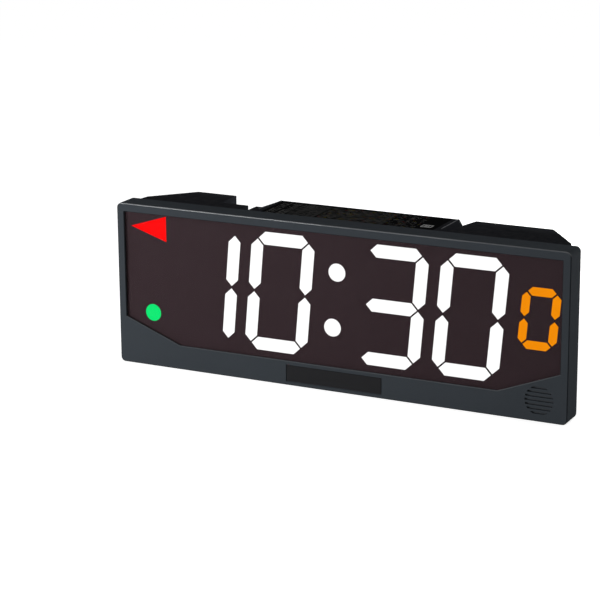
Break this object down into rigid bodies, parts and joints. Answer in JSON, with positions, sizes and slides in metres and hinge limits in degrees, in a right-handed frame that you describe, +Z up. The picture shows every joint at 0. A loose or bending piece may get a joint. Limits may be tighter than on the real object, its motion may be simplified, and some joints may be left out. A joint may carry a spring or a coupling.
{
  "type": "digital timer",
  "caption": "Wide digital sports timer with smoked display window, speaker grille, rear battery boxes with hinged doors, and a control pod with keys, switch, knob and power inlet.",
  "frame": {"origin": "middle of the footprint, on the surface that the timer stands on", "axes": "+X to the viewer's right along the timer, +Z up, the display faces -Y"},
  "size_m": [0.687, 0.123, 0.237],
  "materials": {
    "front_bezel": "satin moulded plastic, grey-black",
    "display_window": "smoked clear plastic, polished",
    "nameplate": "bare black plate, satin",
    "segment_mask": "black, matt",
    "reflector_frame": "white, matt",
    "rear_cover": "black, fine grain",
    "left_box": "black, fine grain",
    "right_box": "black, fine grain",
    "centre_pod": "black, fine grain",
    "left_door": "black, fine grain",
    "right_door": "black, fine grain",
    "top_panel": "black label plate, satin",
    "power_rocker": "red, glossy",
    "rocker_frame": "black, glossy",
    "volume_knob": "black, fluted",
    "volume_pot": "pressed metal can",
    "power_inlet": "black",
    "speaker_gasket": "black foam",
    "speaker_frame": "pressed steel",
    "speaker_cone": "black paper cone",
    "ir_receiver": "dark, glossy",
    "control_board": "green circuit board",
    "led_board_left": "green circuit board",
    "led_board_right": "green circuit board",
    "white_diffuser": "white diffusing plastic, lit from behind",
    "orange_diffuser": "orange diffusing plastic, lit from behind",
    "green_lens": "green diffusing plastic, lit from behind",
    "red_lens": "red diffusing plastic, lit from behind",
    "key": "dark grey moulded rubber",
    "battery_cell": "printed metal jacket",
    "cradle": "black",
    "ribbon_cable": "grey flat cable",
    "wire": "red sleeve",
    "screw": "zinc plated",
    "foot": "black rubber"
  },
  "bodies": {
    "case": {"arrow_lens": "red_lens", "battery_wire_left": "wire", "battery_wire_right": "wire", "case_screw_1": "screw", "case_screw_2": "screw", "case_screw_3": "screw", "case_screw_4": "screw", "centre_pod": "centre_pod", "colon_lens_lower": "white_diffuser", "colon_lens_upper": "white_diffuser", "control_board": "control_board", "display_window": "display_window", "front_bezel": "front_bezel", "ir_receiver": "ir_receiver", "led_board_left": "led_board_left", "led_board_right": "led_board_right", "left_box": "left_box", "left_cell_1": "battery_cell", "left_cell_2": "battery_cell", "left_cell_3": "battery_cell", "left_cell_4": "battery_cell", "left_cradle": "cradle", "minute_ones_diffuser": "white_diffuser", "minute_tens_diffuser": "white_diffuser", "nameplate": "nameplate", "power_inlet": "power_inlet", "ready_lens": "green_lens", "rear_cover": "rear_cover", "rear_foot_left": "foot", "rear_foot_right": "foot", "reflector_frame": "reflector_frame", "ribbon_cable_left": "ribbon_cable", "ribbon_cable_right": "ribbon_cable", "right_box": "right_box", "right_cell_1": "battery_cell", "right_cell_2": "battery_cell", "right_cell_3": "battery_cell", "right_cell_4": "battery_cell", "right_cradle": "cradle", "rocker_frame": "rocker_frame", "round_digit_diffuser": "orange_diffuser", "second_ones_diffuser": "white_diffuser", "second_tens_diffuser": "white_diffuser", "segment_mask": "segment_mask", "speaker_cone": "speaker_cone", "speaker_frame": "speaker_frame", "speaker_gasket": "speaker_gasket", "speaker_wire": "wire", "top_panel": "top_panel", "volume_pot": "volume_pot"},
    "key_buzzer": {"key_buzzer": "key"},
    "key_down": {"key_down": "key"},
    "key_mode": {"key_mode": "key"},
    "key_reset": {"key_reset": "key"},
    "key_start_stop": {"key_start_stop": "key"},
    "key_up": {"key_up": "key"},
    "left_door": {"left_door": "left_door"},
    "power_rocker": {"power_rocker": "power_rocker"},
    "right_door": {"right_door": "right_door"},
    "volume_knob": {"volume_knob": "volume_knob"}
  },
  "joints": [
    {"name": "left_door_hinge", "type": "hinge", "parent": "case", "child": "left_door", "pos_m": [-0.2236, 0.0593, 0.1185], "axis": [0, 0, -1], "range_deg": [0, 95]},
    {"name": "right_door_hinge", "type": "hinge", "parent": "case", "child": "right_door", "pos_m": [0.1691, 0.0593, 0.1185], "axis": [0, 0, 1], "range_deg": [0, 95]},
    {"name": "power_rocker_tilt", "type": "hinge", "parent": "case", "child": "power_rocker", "pos_m": [0.032, 0.0572, 0.1935], "axis": [1, 0, 0], "range_deg": [0, 20]},
    {"name": "volume_turn", "type": "hinge", "parent": "case", "child": "volume_knob", "pos_m": [0.068, 0.058, 0.1935], "axis": [0, -1, 0], "range_deg": [0, 280]},
    {"name": "start_stop_press", "type": "slide", "parent": "case", "child": "key_start_stop", "axis": [0, -1, 0], "range_m": [0, 0.0015], "stiffness_N_per_m": 400, "springref_m": -0.002},
    {"name": "reset_press", "type": "slide", "parent": "case", "child": "key_reset", "axis": [0, -1, 0], "range_m": [0, 0.0015], "stiffness_N_per_m": 400, "springref_m": -0.002},
    {"name": "mode_press", "type": "slide", "parent": "case", "child": "key_mode", "axis": [0, -1, 0], "range_m": [0, 0.0015], "stiffness_N_per_m": 400, "springref_m": -0.002},
    {"name": "up_press", "type": "slide", "parent": "case", "child": "key_up", "axis": [0, -1, 0], "range_m": [0, 0.0015], "stiffness_N_per_m": 400, "springref_m": -0.002},
    {"name": "down_press", "type": "slide", "parent": "case", "child": "key_down", "axis": [0, -1, 0], "range_m": [0, 0.0015], "stiffness_N_per_m": 400, "springref_m": -0.002},
    {"name": "buzzer_press", "type": "slide", "parent": "case", "child": "key_buzzer", "axis": [0, -1, 0], "range_m": [0, 0.0015], "stiffness_N_per_m": 400, "springref_m": -0.002}
  ]
}
